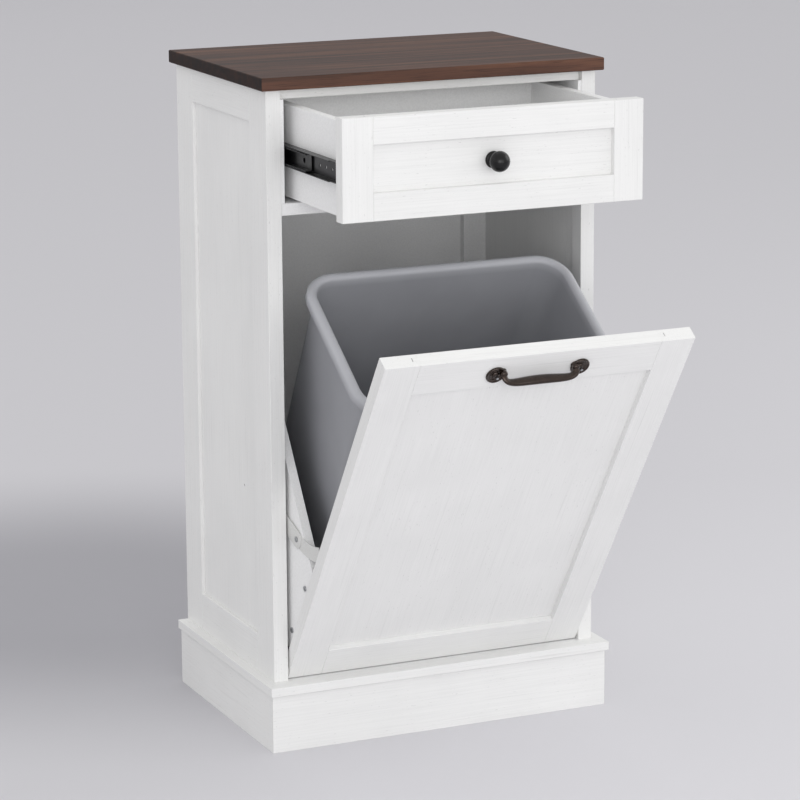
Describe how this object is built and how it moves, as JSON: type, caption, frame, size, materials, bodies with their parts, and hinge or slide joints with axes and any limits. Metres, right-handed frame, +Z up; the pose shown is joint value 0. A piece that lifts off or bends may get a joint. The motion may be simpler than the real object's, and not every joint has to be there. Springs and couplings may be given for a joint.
{
  "type": "tilt-out trash cabinet",
  "caption": "White kitchen cabinet with a walnut top, a drawer on ball-bearing slides and a tilt-out panelled door that carries a lift-out waste bin.",
  "frame": {"origin": "on the floor, under the middle of the whole object as stored, drawer and door open", "axes": "+X to the right seen from the front, +Y to the back, +Z up; the front looks along -Y"},
  "size_m": [0.503, 0.6558, 0.9],
  "materials": {
    "white_wood": "white paint, brushed along the grain",
    "white_board": "white melamine board",
    "walnut_top": "dark walnut grain laminate, satin",
    "black_steel": "black, satin",
    "bright_steel": "zinc plated",
    "screw_steel": "zinc plated",
    "zinc_locks": "die cast zinc, dull",
    "white_nylon": "moulded",
    "white_strap": "soft moulded strap",
    "black_knob": "matte black",
    "bronze_handle": "oil rubbed bronze",
    "grey_plastic": "moulded, satin"
  },
  "bodies": {
    "cabinet": {"top_panel": "walnut_top", "left_front_stile": "white_wood", "right_front_stile": "white_wood", "left_rear_stile": "white_wood", "right_rear_stile": "white_wood", "left_side_top_rail": "white_wood", "right_side_top_rail": "white_wood", "left_side_bottom_rail": "white_wood", "right_side_bottom_rail": "white_wood", "left_side_panel": "white_wood", "right_side_panel": "white_wood", "cap_front": "white_wood", "cap_left": "white_wood", "cap_right": "white_wood", "plinth_front": "white_wood", "plinth_left": "white_wood", "plinth_right": "white_wood", "drawer_shelf": "white_board", "bottom_panel": "white_board", "top_front_rail": "white_board", "top_back_rail": "white_board", "back_panel": "white_board", "back_battens": "white_board", "slide_spacers": "white_board", "stop_rail": "white_board", "slide_inner_members": "black_steel", "cam_locks": "zinc_locks", "pivot_bushes": "white_nylon", "strap_anchor_screws": "screw_steel"},
    "drawer": {"drawer_left_stile": "white_wood", "drawer_right_stile": "white_wood", "drawer_top_rail": "white_wood", "drawer_bottom_rail": "white_wood", "drawer_panel": "white_wood", "drawer_left_side": "white_board", "drawer_right_side": "white_board", "drawer_back": "white_board", "drawer_bottom": "white_board", "drawer_knob": "black_knob", "knob_screw": "screw_steel", "slide_outer_members": "black_steel"},
    "tilt_unit": {"door_left_stile": "white_wood", "door_right_stile": "white_wood", "door_top_rail": "white_wood", "door_bottom_rail": "white_wood", "door_panel": "white_wood", "carrier_left_side": "white_board", "carrier_right_side": "white_board", "carrier_floor": "white_board", "carrier_back_rail": "white_board", "door_cleats": "white_board", "door_handle": "bronze_handle", "corner_bands": "white_strap", "tilt_screws": "screw_steel", "pivot_pins": "bright_steel", "restraint_straps": "white_strap"},
    "bin": {"bin": "grey_plastic"},
    "slide_middles": {"slide_middle_members": "black_steel"},
    "outer_cages": {"slide_outer_cages": "bright_steel"},
    "inner_cages": {"slide_inner_cages": "bright_steel"}
  },
  "joints": [
    {"name": "drawer_slide", "type": "slide", "parent": "cabinet", "child": "drawer", "axis": [0, -1, 0], "range_m": [-0.186, 0.044]},
    {"name": "middle_member_slide", "type": "slide", "parent": "cabinet", "child": "slide_middles", "axis": [0, -1, 0], "range_m": [-0.093, 0.022]},
    {"name": "outer_cage_roll", "type": "slide", "parent": "cabinet", "child": "outer_cages", "axis": [0, -1, 0], "range_m": [-0.1395, 0.033]},
    {"name": "inner_cage_roll", "type": "slide", "parent": "cabinet", "child": "inner_cages", "axis": [0, -1, 0], "range_m": [-0.0465, 0.011]},
    {"name": "door_tilt", "type": "hinge", "parent": "cabinet", "child": "tilt_unit", "pos_m": [0, 0.00495, 0.105], "axis": [1, 0, 0], "range_deg": [-34, 0], "deforming": ["restraint_straps"]},
    {"name": "bin_lift", "type": "slide", "parent": "tilt_unit", "child": "bin", "axis": [0, -0.5592, 0.829], "range_m": [0, 0.1]}
  ],
  "couplings": [
    {"joint": "middle_member_slide", "follows": "drawer_slide", "ratio": 0.5},
    {"joint": "outer_cage_roll", "follows": "drawer_slide", "ratio": 0.75},
    {"joint": "inner_cage_roll", "follows": "drawer_slide", "ratio": 0.25}
  ]
}
